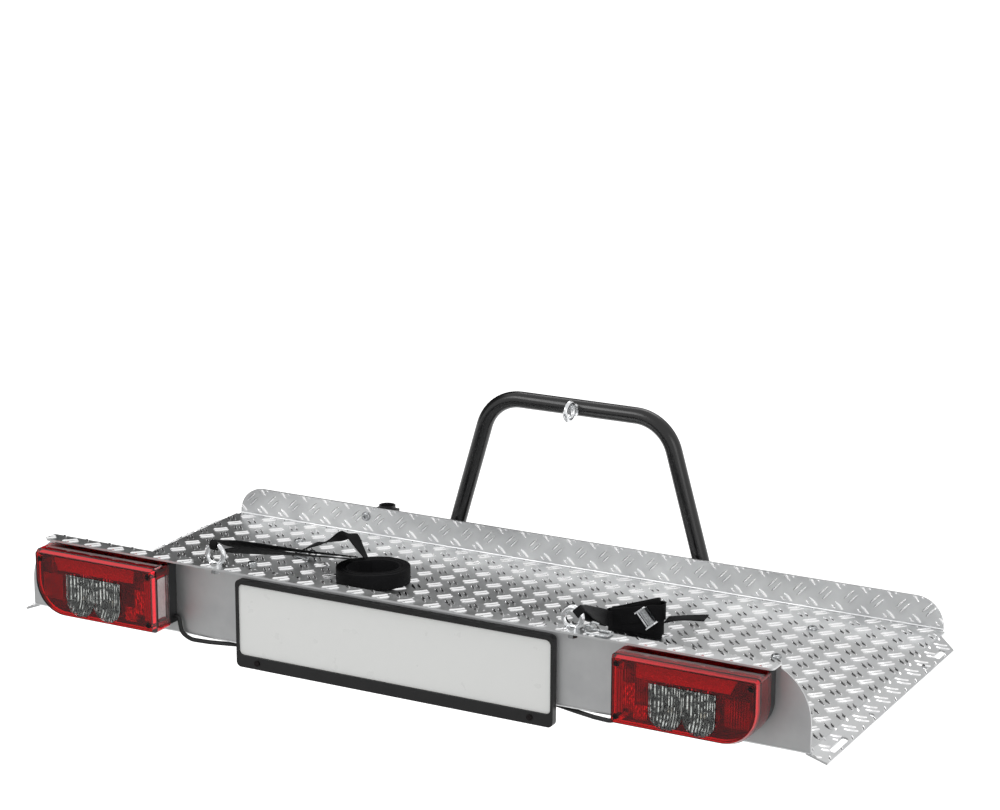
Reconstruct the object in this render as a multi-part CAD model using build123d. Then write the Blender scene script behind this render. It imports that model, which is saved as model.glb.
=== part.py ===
from build123d import *
import os
from math import cos, radians, sin

# Hitch cargo platform: a folded tread-plate tray that rides on a tow ball, with a lamp at each end
# of its tail panel, a number plate between them, a tubular hoop at the front and two lashing straps.
# Millimetres. Origin: centre of the tow ball. +X right seen from behind the car, +Y towards the
# car, +Z up.

# Tray
sheet = 3.0
tail_half_width = 646.0
floor_half_width = 641.0
flange_half_width = 636.0
tail_face_y = -590.0
flange_face_y = -26.0
floor_top_z = 110.0
lip_top_z = 231.0
lip_rear_y = -618.0
lip_half_width = 601.0
flange_top_z = 158.0
tail_corner_radius = 82.0
flange_corner_radius = 45.0
fold_radius = 4.5
side_lip_out = 28.0
side_lip_drop = 12.0
side_lip_ends = ((-588.0, 10.0), (-50.0, -38.0))
lip_hole_x = 660.0
lip_hole_radius = 4.5
lip_hole_ys = (-393.0, -176.0)
lip_slots = ((-520.0, 57.0), (-110.0, 36.0))

# Carrying frame
beam_width = 40.0
rail_height = 40.0
cross_height = 30.0
tube_wall = 3.0
rail_x = 110.0
rail_rear_y = -455.0
cross_beam_ys = {"beam_rear": -440.0, "beam_mid": -260.0, "beam_front": -118.0}
cross_half_length = 500.0
front_beam_half_length = 300.0
deck_screw_x = 460.0

# Hoop
hoop_tube_diameter = 26.9
hoop_wall = 2.0
hoop_top_z = 372.5
hoop_top_half_width = 156.0
hoop_foot_x = 241.5
hoop_bend_radius = 70.0
foot_plate = (84.0, 36.0, 5.0)
foot_bolt_offset = 31.0

# Eye bolts, size M8
eye_wire = 8.0
eye_ring_radius = 14.0
eye_seat_height = 18.0
eye_collar = (10.0, 6.0)
eye_x = 296.0
eye_y = -604.0

# Tail lamps
lamp_inner_x = 375.5
lamp_outer_x = 595.5
lamp_bottom_z = 123.0
lamp_top_z = 224.5
lamp_corner_radius = 55.0
lamp_base_inset = 2.0
lamp_base_depth = 20.0
lamp_seal_depth = 2.0
lamp_depth = 63.0
lamp_wall = 3.0
lamp_bevel = (4.0, 9.0)
lamp_boss_radius = 4.5
window_top_z = 193.5
window_lobe_z = 154.0
window_lobe_radius = 24.7
window_lobe_xs = (460.5, 510.0)
lamp_screw_places = ((584.0, 211.0), (386.0, 212.5), (386.0, 136.0))
bulb_places = ((460.5, 155.0, 4.0), (510.0, 155.0, 4.0), (564.0, 175.0, 2.0))

# Number plate and its holder
plate_size = (520.0, 1.2, 110.0)
plate_bottom_z = 97.0
holder_half_width = 264.5
holder_bottom_z = 78.0
holder_top_z = 214.0
holder_depth = 11.0
holder_corner_radius = 8.0
holder_web_y = -595.5
holder_web = 1.5

# Coupling
ball_radius = 25.0
socket_radius = 25.2
cheek_inner_x = 38.0
cheek_thickness = 8.0
housing_bottom_z = -14.0
housing_top_z = 37.0
coupling_bolt_y = -12.0
pivot_y = 58.0
cam_radius = 12.0
cam_offset = 6.0
cam_lead_angle = 40.0
pin_radius = 5.0
lever_top_z = 120.0

# Lashing straps
webbing_width = 25.0
webbing = 1.8
coil_centre = (-241.5, -242.5)
coil_inner_radius = 32.0
coil_pitch = 2.6
coil_half_turns = 14
coil_straight = 20.0
coil_turn = 128.0
hook_wire = 3.6
buckle_pivot = (-1.0, 0.0, 7.0)

# Lamp cables
cable_diameter = 6.5
cable_xs = (-84.0, -75.0)
cable_z = 56.1


def save(name, shape):
    shape.label = name
    export_step(shape, f"parts/{name}.step")
    print(name, round(shape.volume))


def box_between(low, high):
    size = [b - a for a, b in zip(low, high)]
    centre = [(a + b) / 2 for a, b in zip(low, high)]
    return Pos(*centre) * Box(*size)


def bar(start, end, radius):
    axis = Vector(*end) - Vector(*start)
    plane = Plane(origin=start, z_dir=axis)
    return plane * Cylinder(radius, axis.length, align=(Align.CENTER, Align.CENTER, Align.MIN))


def mirrored(shape):
    return mirror(shape, about=Plane.YZ)


# Fasteners

def dome_screw(length):
    head = Cylinder(8, 4.6, align=(Align.CENTER, Align.CENTER, Align.MIN))
    head = fillet(head.edges().group_by(Axis.Z)[-1], 3.6)
    socket = Pos(0, 0, 2.2) * extrude(RegularPolygon(2.9, 6), 4)
    shank = Cylinder(4, length, align=(Align.CENTER, Align.CENTER, Align.MAX))
    return head - socket + shank


def hex_bolt(size, length):
    head = extrude(RegularPolygon(size * 0.92, 6), size * 0.65)
    shank = Cylinder(size / 2, length, align=(Align.CENTER, Align.CENTER, Align.MAX))
    return head + shank


def hex_nut():
    blank = extrude(RegularPolygon(7.4, 6), 6.5)
    return blank - Cylinder(4.05, 20)


def washer():
    ring = Cylinder(8, 1.6, align=(Align.CENTER, Align.CENTER, Align.MIN))
    return ring - Cylinder(4.2, 10)


# Tray

def tail_corner_cutter():
    corner_x = tail_half_width - tail_corner_radius
    corner_z = lip_top_z + 1 - tail_corner_radius
    block = box_between((lip_half_width, -640, corner_z), (700, -580, 260))
    disc = Pos(corner_x, -610, corner_z) * Rot(90, 0, 0) * Cylinder(tail_corner_radius, 80)
    return block - disc


def flange_corner_cutter():
    corner_x = flange_half_width - flange_corner_radius
    corner_z = flange_top_z - flange_corner_radius
    block = box_between((corner_x, -40, corner_z), (700, -10, 260))
    disc = Pos(corner_x, -25, corner_z) * Rot(90, 0, 0) * Cylinder(flange_corner_radius, 60)
    return block - disc


def lip_corner_cutter():
    corner = 8.0
    low = (lip_half_width - corner, lip_rear_y - 5, 220)
    high = (lip_half_width + 5, lip_rear_y + corner, 240)
    disc = Pos(low[0], high[1], 230) * Cylinder(corner, 40)
    return box_between(low, high) - disc


def side_trims():
    bend = sheet + fold_radius
    floor_trim = box_between((floor_half_width, tail_face_y + bend, 90), (700, flange_face_y, 125))
    flange_trim = box_between((flange_half_width, flange_face_y - bend, 90), (700, 0, 260))
    return [floor_trim, flange_trim]


def side_lip():
    top = Vector(floor_half_width - 2, floor_top_z)
    outer = Vector(floor_half_width + side_lip_out, floor_top_z - side_lip_drop)
    profile = Polyline(
        (top.X, top.Y),
        (outer.X, outer.Y),
        (outer.X - 1.2, outer.Y - sheet + 0.3),
        (top.X, top.Y - sheet),
        close=True,
    )
    rear_y = side_lip_ends[0][0]
    front_y = side_lip_ends[1][0]
    lip = Pos(0, front_y, 0) * extrude(Plane.XZ * make_face(profile), front_y - rear_y)
    cuts = []
    for y, length in lip_slots:
        slot = Rot(0, 0, 90) * extrude(SlotOverall(length, 2 * lip_hole_radius), 20, both=True)
        cuts.append(Pos(lip_hole_x, y, 100) * slot)
    for y in lip_hole_ys:
        cuts.append(Pos(lip_hole_x, y, 100) * Cylinder(lip_hole_radius, 40))
    for y, turn in side_lip_ends:
        outwards = 1 if y == front_y else -1
        corner = Pos(floor_half_width, y, 100) * Rot(0, 0, turn) * Pos(40, outwards * 20, 0)
        cuts.append(corner * Box(80, 40, 40))
    return lip - cuts


def deck_tray():
    half = sheet / 2
    tail_y = tail_face_y + half
    flange_y = flange_face_y + half
    path = FilletPolyline(
        (lip_rear_y, lip_top_z - half),
        (tail_y, lip_top_z - half),
        (tail_y, floor_top_z - half),
        (flange_y, floor_top_z - half),
        (flange_y, flange_top_z),
        radius=fold_radius,
    )
    section = Plane.YZ * trace(path, sheet)
    tray = extrude(section, tail_half_width, both=True)
    trims = side_trims()
    tray -= trims + [mirrored(trim) for trim in trims]
    tray += [side_lip(), mirrored(side_lip())]
    cuts = [box_between((lip_half_width, -640, 222), (700, -593, 240))]
    cuts += [tail_corner_cutter(), flange_corner_cutter(), lip_corner_cutter()]
    cuts += [mirrored(cut) for cut in cuts]
    for x, y in deck_screw_places():
        cuts.append(Pos(x, y, floor_top_z) * Cylinder(4.2, 20))
    for x in (-eye_x, eye_x):
        cuts.append(Pos(x, eye_y, lip_top_z) * Cylinder(4.2, 20))
    cuts.append(Pos(-384, flange_face_y, 140) * Rot(90, 0, 0) * Cylinder(4.2, 20))
    return tray - cuts


def deck_screw_places():
    return [(x, y) for x in (-deck_screw_x, deck_screw_x) for y in cross_beam_ys.values()]


# Carrying frame

def square_tube(length, width, height, wall):
    outer = Box(width, length, height)
    return outer - Box(width - 2 * wall, length + 2, height - 2 * wall)


def cross_beam(y):
    tube = square_tube(2 * cross_half_length, beam_width, cross_height, tube_wall)
    beam = Pos(0, y, floor_top_z - sheet - cross_height / 2) * Rot(0, 0, 90) * tube
    for x in (-deck_screw_x, deck_screw_x):
        beam -= Pos(x, y, 90) * Cylinder(4.2, 60)
    return beam


def main_rail(side):
    length = -rail_rear_y - beam_width / 2
    tube = square_tube(length, beam_width, rail_height, tube_wall)
    return Pos(side * rail_x, rail_rear_y + length / 2, rail_middle_z()) * tube


def rail_middle_z():
    return floor_top_z - sheet - cross_height - rail_height / 2


def front_beam():
    tube = square_tube(2 * front_beam_half_length, beam_width, rail_height, tube_wall)
    beam = Pos(0, 0, rail_middle_z()) * Rot(0, 0, 90) * tube
    for x in foot_bolt_xs():
        beam -= Pos(x, 0, 60) * Cylinder(4.2, 80)
    for x in (-32, 32):
        beam -= Pos(x, coupling_bolt_y, 60) * Cylinder(5.2, 80)
    return beam


def end_cap(width, height):
    flange = Box(3, width, height, align=(Align.MIN, Align.CENTER, Align.CENTER))
    inside = 2 * tube_wall + 0.4
    plug = Box(12, width - inside, height - inside, align=(Align.MAX, Align.CENTER, Align.CENTER))
    return fillet(flange.faces().sort_by(Axis.X)[-1].edges(), 1.5) + plug


def rail_caps():
    cap = end_cap(beam_width, rail_height)
    z = rail_middle_z()
    caps = [Pos(front_beam_half_length, 0, z) * cap]
    caps.append(Pos(-front_beam_half_length, 0, z) * Rot(0, 0, 180) * cap)
    caps += [Pos(side * rail_x, rail_rear_y, z) * Rot(0, 0, -90) * cap for side in (-1, 1)]
    return Compound(children=caps)


def cross_caps():
    cap = end_cap(beam_width, cross_height)
    z = floor_top_z - sheet - cross_height / 2
    caps = []
    for y in cross_beam_ys.values():
        caps.append(Pos(cross_half_length, y, z) * cap)
        caps.append(Pos(-cross_half_length, y, z) * Rot(0, 0, 180) * cap)
    return Compound(children=caps)


def deck_screws():
    screws = [Pos(x, y, floor_top_z) * dome_screw(44) for x, y in deck_screw_places()]
    screws.append(Pos(-384, flange_face_y, 140) * Rot(90, 0, 0) * dome_screw(20))
    return Compound(children=screws)


def nut_places():
    places = [Pos(x, y, 77) * Rot(180, 0, 0) for x, y in deck_screw_places()]
    places += [Pos(x, 0, 37) * Rot(180, 0, 0) for x in foot_bolt_xs()]
    places += [Pos(x, eye_y, lip_top_z - sheet) * Rot(180, 0, 0) for x in (-eye_x, eye_x)]
    places.append(Pos(-384, -18, 140) * Rot(-90, 0, 0))
    places.append(Pos(0, hoop_tube_diameter / 2, hoop_top_z) * Rot(-90, 0, 0))
    return places


def m8_washers():
    return Compound(children=[place * washer() for place in nut_places()])


def m8_nuts():
    return Compound(children=[place * Pos(0, 0, 1.6) * hex_nut() for place in nut_places()])


# Hoop

def foot_bolt_xs():
    middle = hoop_foot_x + 4
    return [side * (middle + offset) for side in (-1, 1) for offset in (-foot_bolt_offset, foot_bolt_offset)]


def hoop():
    path = FilletPolyline(
        (-hoop_foot_x, 0, 79),
        (-hoop_top_half_width, 0, hoop_top_z),
        (hoop_top_half_width, 0, hoop_top_z),
        (hoop_foot_x, 0, 79),
        radius=hoop_bend_radius,
    )
    section = Plane(origin=path @ 0, z_dir=path % 0) * Circle(hoop_tube_diameter / 2)
    tube = sweep(section, path=path)
    tube -= box_between((-300, -40, 20), (300, 40, 77 + foot_plate[2]))
    tube -= Pos(0, 0, hoop_top_z) * Rot(90, 0, 0) * Cylinder(4.2, 60)
    for side in (-1, 1):
        foot = Pos(side * (hoop_foot_x + 4), 0, 77 + foot_plate[2] / 2) * Box(*foot_plate)
        tube += fillet(foot.edges().filter_by(Axis.Z), 6)
    for x in foot_bolt_xs():
        tube -= Pos(x, 0, 79) * Cylinder(4.2, 30)
    return tube


def hoop_bolts():
    bolts = [Pos(x, 0, 77 + foot_plate[2]) * hex_bolt(8, 58) for x in foot_bolt_xs()]
    return Compound(children=bolts)


# Eye bolts

def eye_bolt(shank_length):
    ring = Pos(0, 0, eye_seat_height) * Rot(90, 0, 0) * Torus(eye_ring_radius, eye_wire / 2)
    collar = Cylinder(*eye_collar, align=(Align.CENTER, Align.CENTER, Align.MIN))
    hole = Pos(0, 0, eye_seat_height) * Rot(90, 0, 0) * Cylinder(eye_ring_radius - eye_wire / 2, 30)
    shank = Cylinder(4, shank_length, align=(Align.CENTER, Align.CENTER, Align.MAX))
    return ring + (collar - hole) + shank


def hoop_eye():
    seat_y = -hoop_tube_diameter / 2
    return Pos(0, seat_y, hoop_top_z) * Rot(90, 0, 0) * Rot(0, 0, 90) * eye_bolt(38)


# Tail lamps, drawn on the right and mirrored to the left

def lamp_outline(inset):
    width = lamp_outer_x - lamp_inner_x - 2 * inset
    height = lamp_top_z - lamp_bottom_z - 2 * inset
    middle_x = (lamp_outer_x + lamp_inner_x) / 2
    middle_z = (lamp_top_z + lamp_bottom_z) / 2
    outline = Pos(middle_x, middle_z) * Rectangle(width, height)
    big = outline.vertices().group_by(Axis.Y)[0].sort_by(Axis.X)[-1]
    outline = fillet(big, lamp_corner_radius - inset)
    small = [v for v in outline.vertices() if v.Y > lamp_top_z - inset - 1 or v.X < lamp_inner_x + inset + 1]
    return fillet(small, max(6 - inset, 1.5))


def lamp_slab(outline, near_y, far_y):
    return Pos(0, near_y, 0) * extrude(Plane.XZ * outline, near_y - far_y)


def lamp_base():
    back = tail_face_y
    front = back - lamp_base_depth
    slab = lamp_slab(lamp_outline(lamp_base_inset), back, front)
    hollow = lamp_slab(lamp_outline(9), back - 4, front)
    hole_start = (lamp_inner_x - 5, cable_y(), 137)
    hole_end = (lamp_inner_x + 15, cable_y(), 137)
    cable_hole = bar(hole_start, hole_end, cable_diameter / 2 + 0.05)
    slab = slab - hollow - cable_hole
    for x, z in lamp_screw_places:
        slab += bar((x, front, z), (x, back, z), 4)
        slab -= bar((x, front, z), (x, back - 4, z), 1.8)
    return slab


def lamp_seal():
    near = tail_face_y - lamp_base_depth
    far = near - lamp_seal_depth
    return lamp_slab(lamp_outline(1), near, far) - lamp_slab(lamp_outline(5), near, far)


def window_outline(grow):
    left = window_lobe_xs[0] - window_lobe_radius - grow
    right = window_lobe_xs[1] + window_lobe_radius + grow
    low = window_lobe_z
    high = window_top_z + grow
    outline = Pos((left + right) / 2, (low + high) / 2) * Rectangle(right - left, high - low)
    for x in window_lobe_xs:
        outline += Pos(x, window_lobe_z) * Circle(window_lobe_radius + grow)
    return outline


def lamp_lens():
    near = tail_face_y - lamp_base_depth - lamp_seal_depth
    far = tail_face_y - lamp_depth
    inset, setback = lamp_bevel
    shell = lamp_slab(lamp_outline(0), near, far)
    face = shell.faces().sort_by(Axis.Y)[0]
    shell = chamfer(face.edges(), inset, setback, reference=face)
    shell -= lamp_slab(lamp_outline(lamp_wall), near, far + setback)
    shell -= lamp_slab(lamp_outline(lamp_wall + inset), near, far + lamp_wall)
    shell -= lamp_slab(window_outline(0), far + 10, far)
    for x, z in lamp_screw_places:
        shell += bar((x, far + 1, z), (x, near, z), lamp_boss_radius)
        shell -= bar((x, far, z), (x, near, z), 2.0)
        shell -= bar((x, far, z), (x, far + 2, z), 3.8)
    return shell


def lamp_window():
    far = tail_face_y - lamp_depth
    pane = lamp_slab(window_outline(-0.15), far + lamp_wall, far - 1)
    return pane


def lamp_board():
    near = tail_face_y - lamp_base_depth - lamp_seal_depth
    board = lamp_slab(lamp_outline(lamp_wall + 0.3), near, near - 2)
    for x, z in lamp_screw_places:
        board -= bar((x, near + 1, z), (x, near - 3, z), lamp_boss_radius + 0.5)
    for x in window_lobe_xs:
        cup = bar((x, near - 2, window_lobe_z + 1), (x, near - 22, window_lobe_z + 1), 23)
        board += cup - bar((x, near - 4, window_lobe_z + 1), (x, near - 23, window_lobe_z + 1), 21.5)
    return board


def lamp_bulbs():
    near = tail_face_y - lamp_base_depth - lamp_seal_depth
    bulbs = []
    for x, z, socket in bulb_places:
        foot = bar((x, near - socket, z), (x, near - socket - 9, z), 7)
        glass = Pos(x, near - socket - 16, z) * Sphere(9)
        bulbs.append(foot + glass)
    return Compound(children=bulbs)


def lamp_screws():
    face = tail_face_y - lamp_depth
    screws = []
    for x, z in lamp_screw_places:
        head = bar((x, face + 2, z), (x, face - 0.6, z), 3.6)
        slot = Pos(x, face - 0.6, z) * Box(5, 2, 1)
        screws.append(head - slot + bar((x, face + 2, z), (x, tail_face_y - 4, z), 1.7))
    return Compound(children=screws)


def plate_light_window():
    low = (-lamp_inner_x - lamp_wall - 0.2, -642, 132)
    high = (-lamp_inner_x + 0.4, -613, 207)
    return box_between(low, high)


# Number plate

def plate_holder():
    front = tail_face_y - holder_depth
    low = (-holder_half_width, front, holder_bottom_z)
    high = (holder_half_width, tail_face_y, holder_top_z)
    body = box_between(low, high)
    body = fillet(body.edges().filter_by(Axis.Y), holder_corner_radius)
    plate_top_z = plate_bottom_z + plate_size[2]
    pocket_half = plate_size[0] / 2 + 0.3
    pocket_low = (-pocket_half, front - 1, plate_bottom_z - 0.3)
    pocket_high = (pocket_half, holder_web_y - holder_web, plate_top_z + 0.3)
    pocket = box_between(pocket_low, pocket_high)
    body -= fillet(pocket.edges().filter_by(Axis.Y), holder_corner_radius)
    back_low = (-pocket_half, holder_web_y, holder_bottom_z + 4)
    back_high = (pocket_half, tail_face_y + 1, holder_top_z - 4)
    body -= box_between(back_low, back_high)
    for side in (-1, 1):
        body -= bar((side * 228, front - 1, 88), (side * 228, tail_face_y, 88), 2.2)
    return body


def number_plate():
    top = plate_bottom_z + plate_size[2]
    rear = holder_web_y - holder_web
    half_width = plate_size[0] / 2
    plate = box_between((-half_width, rear - plate_size[1], plate_bottom_z), (half_width, rear, top))
    return fillet(plate.edges().filter_by(Axis.Y), 8)


def holder_screws():
    front = tail_face_y - holder_depth
    screws = []
    for x in (-228, 228):
        screws.append(bar((x, front, 88), (x, front - 1.6, 88), 4.5) + bar((x, front, 88), (x, -598, 88), 2))
    return Compound(children=screws)


# Coupling

def coupling_housing():
    outer_x = cheek_inner_x + cheek_thickness
    body = box_between((-outer_x, -44, housing_bottom_z), (outer_x, 1, housing_top_z))
    body = fillet(body.edges().filter_by(Axis.Z).group_by(Axis.Y)[0], 14)
    body += box_between((-outer_x, 1, 28), (outer_x, 20, housing_top_z))
    for side in (-1, 1):
        low_x = min(side * cheek_inner_x, side * outer_x)
        cheek = box_between((low_x, 1, housing_bottom_z), (low_x + cheek_thickness, pivot_y + 12, 28))
        body += cheek
    body -= Sphere(socket_radius)
    body -= Pos(0, 0, -30) * Cylinder(socket_radius, 60)
    for x in (-32, 32):
        body -= Pos(x, coupling_bolt_y, 27) * Cylinder(5.0, 30)
    body -= bar((-60, pivot_y, 0), (60, pivot_y, 0), pin_radius)
    return body


def clamp_jaw():
    half = cheek_inner_x - 0.4
    jaw = box_between((-half, 2, housing_bottom_z), (half, 38, 27))
    jaw -= Sphere(socket_radius)
    jaw -= Pos(0, 0, -40) * Cylinder(21.5, 80)
    return jaw


def clamp_lever():
    cam_direction = radians(180 - cam_lead_angle)
    cam_y = pivot_y + cam_offset * cos(cam_direction)
    cam_z = cam_offset * sin(cam_direction)
    lever = bar((-20, cam_y, cam_z), (20, cam_y, cam_z), cam_radius)
    lever += bar((-20, pivot_y, 0), (20, pivot_y, 0), 10)
    arm = box_between((-13, pivot_y - 4, 0), (13, pivot_y + 4, lever_top_z - 70))
    lever += arm
    lever += box_between((-13, pivot_y, lever_top_z - 74), (13, pivot_y + 4, lever_top_z))
    return lever - bar((-30, pivot_y, 0), (30, pivot_y, 0), pin_radius + 0.05)


def lever_grip():
    low = (-17, pivot_y - 5, lever_top_z - 66)
    high = (17, pivot_y + 9, lever_top_z + 5)
    grip = fillet(box_between(low, high).edges().filter_by(Axis.Z), 5)
    return grip - box_between((-13, pivot_y, lever_top_z - 80), (13, pivot_y + 4, lever_top_z))


def clamp_pin():
    end = cheek_inner_x + cheek_thickness
    pin = bar((-end, pivot_y, 0), (end, pivot_y, 0), pin_radius)
    for side in (-1, 1):
        pin += bar((side * end, pivot_y, 0), (side * (end + 3), pivot_y, 0), 8)
    return pin


def coupling_bolts():
    bolts = [Pos(x, coupling_bolt_y, 77) * hex_bolt(10, 65) for x in (-32, 32)]
    return Compound(children=bolts)


# Plug parking bracket on the flange

def plug_bracket():
    plate = box_between((-396, -23, 122), (-330, -18, 156))
    arm = box_between((-372, -18, 150), (-335, 2, 154))
    socket = bar((-353, -8, 128), (-353, -8, 160), 14) - bar((-353, -8, 132), (-353, -8, 162), 11)
    hole = bar((-384, -26, 140), (-384, -10, 140), 4.2)
    trimmed = socket - box_between((-400, -26, 100), (-300, -20.5, 200))
    return plate + arm + trimmed - bar((-353, -8, 132), (-353, -8, 162), 11) - hole


# Lamp cables, clipped along the tail, the holder and the left rail

def cable_y():
    return tail_face_y - 6


def corner_radii(points, largest):
    radii = []
    for before, here, after in zip(points, points[1:], points[2:]):
        first = Vector(*here) - Vector(*before)
        second = Vector(*after) - Vector(*here)
        turn = radians(first.get_angle(second))
        shorter = min(first.length, second.length)
        radii.append(min(largest, 0.45 * shorter / (sin(turn / 2) / cos(turn / 2))))
    return radii


def cable(points, name):
    radii = corner_radii(points, 60)
    print(name, "radii", [round(radius) for radius in radii])
    path = FilletPolyline(*points, radius=radii)
    section = Plane(origin=path @ 0, z_dir=path % 0) * Circle(cable_diameter / 2)
    tube = sweep(section, path=path)
    ratio = tube.volume / (section.area * path.length)
    print(name, "length", round(path.length), "volume ratio", round(ratio, 4))
    return tube


def tail_route(y):
    return [
        (-lamp_inner_x - 5, y, 137),
        (-lamp_inner_x + 5, y, 136),
        (-368.5, y, 126),
        (-366, y + 0.5, 112),
        (-352, y + 3, 102.5),
        (-322, y + 9, 101.2),
        (-286, y + 18, 101.2),
    ]


def left_cable_points():
    x = cable_xs[0]
    return tail_route(cable_y()) + [
        (-225, -556, 101.2),
        (-140, -520, 101),
        (-98, -490, 92),
        (x - 1, -468, 68),
        (x, -430, cable_z),
        (x, -228, cable_z),
    ]


def right_cable_points():
    x = cable_xs[1]
    mirrored_route = [(-x, y, z) for x, y, z in tail_route(cable_y())]
    return mirrored_route + [
        (225, -560, 101.2),
        (120, -548, 101.2),
        (-20, -524, 101),
        (-62, -494, 92),
        (x + 1, -468, 68),
        (x, -430, cable_z),
        (x, -228, cable_z),
    ]


def cable_clips():
    clips = []
    face_x = rail_face_x()
    for y in (-400, -330, -270):
        clip = box_between((face_x, y - 4, cable_z - 6), (cable_xs[1] + 5.5, y + 4, cable_z + 6.3))
        for x in cable_xs:
            clip -= bar((x, y - 6, cable_z), (x, y + 6, cable_z), cable_diameter / 2)
        clips.append(clip)
    return Compound(children=clips)


def rail_face_x():
    return -rail_x + beam_width / 2


def junction_box():
    face_x = rail_face_x()
    box = box_between((face_x, -226, 39), (face_x + 42, -150, 75))
    box = fillet(box.edges().filter_by(Axis.Y).group_by(Axis.X)[-1], 4)
    lid_groove = box_between((face_x + 20, -230, 38), (face_x + 20.8, -140, 76))
    lid_groove -= box_between((face_x + 19.5, -224.6, 40.4), (face_x + 22, -151.4, 73.6))
    return box - lid_groove


def cable_glands():
    glands = []
    for x in cable_xs:
        outside = bar((x, -226, cable_z), (x, -233.5, cable_z), 4.4)
        glands.append(outside - bar((x, -226, cable_z), (x, -236, cable_z), cable_diameter / 2))
    x = rail_face_x() + 21
    glands.append(bar((x, -150, 57), (x, -136, 57), 8) - bar((x, -148, 57), (x, -135, 57), 4))
    return Compound(children=glands)


# Lashing straps

def spiral_band(inner_radius, pitch, half_turns, start_turn, straight):
    near_side = []
    far_side = []
    for step in range(half_turns):
        centre = (pitch / 4) * (-1 if step % 2 == 0 else 1)
        radius = inner_radius + step * pitch / 2
        start = 180 * (step % 2)
        middle = (centre, straight / 2 if step % 2 == 0 else -straight / 2)
        near_side.append(CenterArc(middle, radius - webbing / 2, start, 180))
        far_side.append(CenterArc(middle, radius + webbing / 2, start, 180))
    joins = []
    for side in (near_side, far_side):
        joins += [Line(before @ 1, after @ 0) for before, after in zip(side, side[1:])]
    ends = [Line(near_side[0] @ 0, far_side[0] @ 0), Line(near_side[-1] @ 1, far_side[-1] @ 1)]
    face = make_face(near_side + far_side + joins + ends)
    return Rot(0, 0, start_turn) * extrude(face, webbing_width)


def strap_left_coil():
    coil = spiral_band(coil_inner_radius, coil_pitch, coil_half_turns, coil_turn, coil_straight)
    print("coil gap", round(coil_pitch - webbing, 2))
    return Pos(*coil_centre, floor_top_z) * coil


def strap_loop(start, end, across):
    run = Vector(*end) - Vector(*start)
    plane = Plane(origin=start, x_dir=run, z_dir=across)
    reach = run.length
    wrap = eye_wire / 2 + 2.0
    faces = []
    for near, end in ((wrap + webbing, reach), (wrap, reach + 1)):
        far = near - wrap + 1.2
        outline = Polyline((0, near), (end, far), (end, -far), (0, -near), close=True)
        faces.append(make_face(outline) + Circle(near))
    band = extrude(plane * (faces[0] - faces[1]), webbing_width / 2, both=True)
    for side in (-1, 1):
        waist = [(-20, side * 5.5), (8, side * 5.5), (60, side * 13), (60, side * 30), (-20, side * 30)]
        gather = Polyline(*waist, close=True)
        flat = Plane(origin=start, x_dir=run, z_dir=plane.y_dir)
        band -= extrude(flat * make_face(gather), 40, both=True)
    return band


def strap_left_run():
    start = Vector(-eye_x, eye_y, lip_top_z + eye_seat_height + eye_ring_radius)
    end = Vector(-286, -236, 141)
    return strap_loop(start, end, (end - start).cross(Vector(0, 0, 1)))


def strap_right_run():
    reach = eye_ring_radius * sin(radians(45))
    start = Vector(eye_x + reach, eye_y, lip_top_z + eye_seat_height + reach)
    end = Vector(196, -290, 136)
    run = end - start
    wire = Vector(1, 0, -1)
    return strap_loop(start, end, wire - run * (run.dot(wire) / run.dot(run)))


def folded_band(points):
    run = Vector(*points[-1]) - Vector(*points[0])
    across = Vector(run.X, run.Y, 0)
    plane = Plane(origin=points[0], x_dir=across, z_dir=across.cross(Vector(0, 0, 1)))
    flat = [plane.to_local_coords(Vector(*point)) for point in points]
    path = FilletPolyline(*[(p.X, p.Y) for p in flat], radius=6)
    return extrude(plane * trace(path, webbing), webbing_width / 2, both=True)


def strap_left_end():
    rise = [(-271, -214, 137), (-303, -208, 171), (-345, -200, 151)]
    return folded_band(rise + [(-385, -192, 135), (-417, -186, 117.5)])


def hank_run(start, end, y):
    profile = Polyline(
        (start[0], start[1]),
        (end[0], end[1]),
        (end[0], end[1] + webbing_width),
        (start[0], start[1] + webbing_width),
        close=True,
    )
    return Pos(0, y, 0) * extrude(Plane.XZ * make_face(profile), webbing / 2, both=True)


def hank_turn(x, y, z, radius, side):
    ring = Circle(radius + webbing / 2) - Circle(radius - webbing / 2)
    keep = Pos(side * 50, 0) * Rectangle(100, 200)
    return Pos(x, y, z) * extrude(ring & keep, webbing_width)


def strap_right_hank():
    left_x = 198
    right_x = 270
    middle_y = -268
    outer_radius = 13.0
    step = 1.3
    levels = [floor_top_z + rise for rise in (13, 31, 8, 7, 0, 0, 10, 38, 12, 20)]
    pieces = []
    for index, (low, high) in enumerate(zip(levels, levels[1:])):
        forwards = index % 2 == 0
        radius = outer_radius - step * index
        if forwards:
            y = middle_y - radius
            pieces.append(hank_run((left_x, low), (right_x, high), y))
        else:
            y = middle_y + radius
            pieces.append(hank_run((right_x, low), (left_x, high), y))
        if index < len(levels) - 2:
            turn_radius = radius - step / 2
            turn_x = right_x if forwards else left_x
            turn_y = y + turn_radius if forwards else y - turn_radius
            pieces.append(hank_turn(turn_x, turn_y, high, turn_radius, 1 if forwards else -1))
    band = pieces[0]
    for piece in pieces[1:]:
        band += piece
    return band


def strap_right_end():
    return folded_band([(284.8, -268, 141), (320, -265.5, 149.5), (348, -263.5, 153)])


def wire_hook():
    points = [
        (-8, 22, 9),
        (-8, 34, 11),
        (-8, 36, 0),
        (-10, 0, 0),
        (10, 0, 0),
        (8, 36, 0),
        (8, 34, 11),
        (8, 22, 9),
    ]
    path = FilletPolyline(*points, radius=4)
    section = Plane(origin=path @ 0, z_dir=path % 0) * Circle(hook_wire / 2)
    return sweep(section, path=path)


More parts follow.
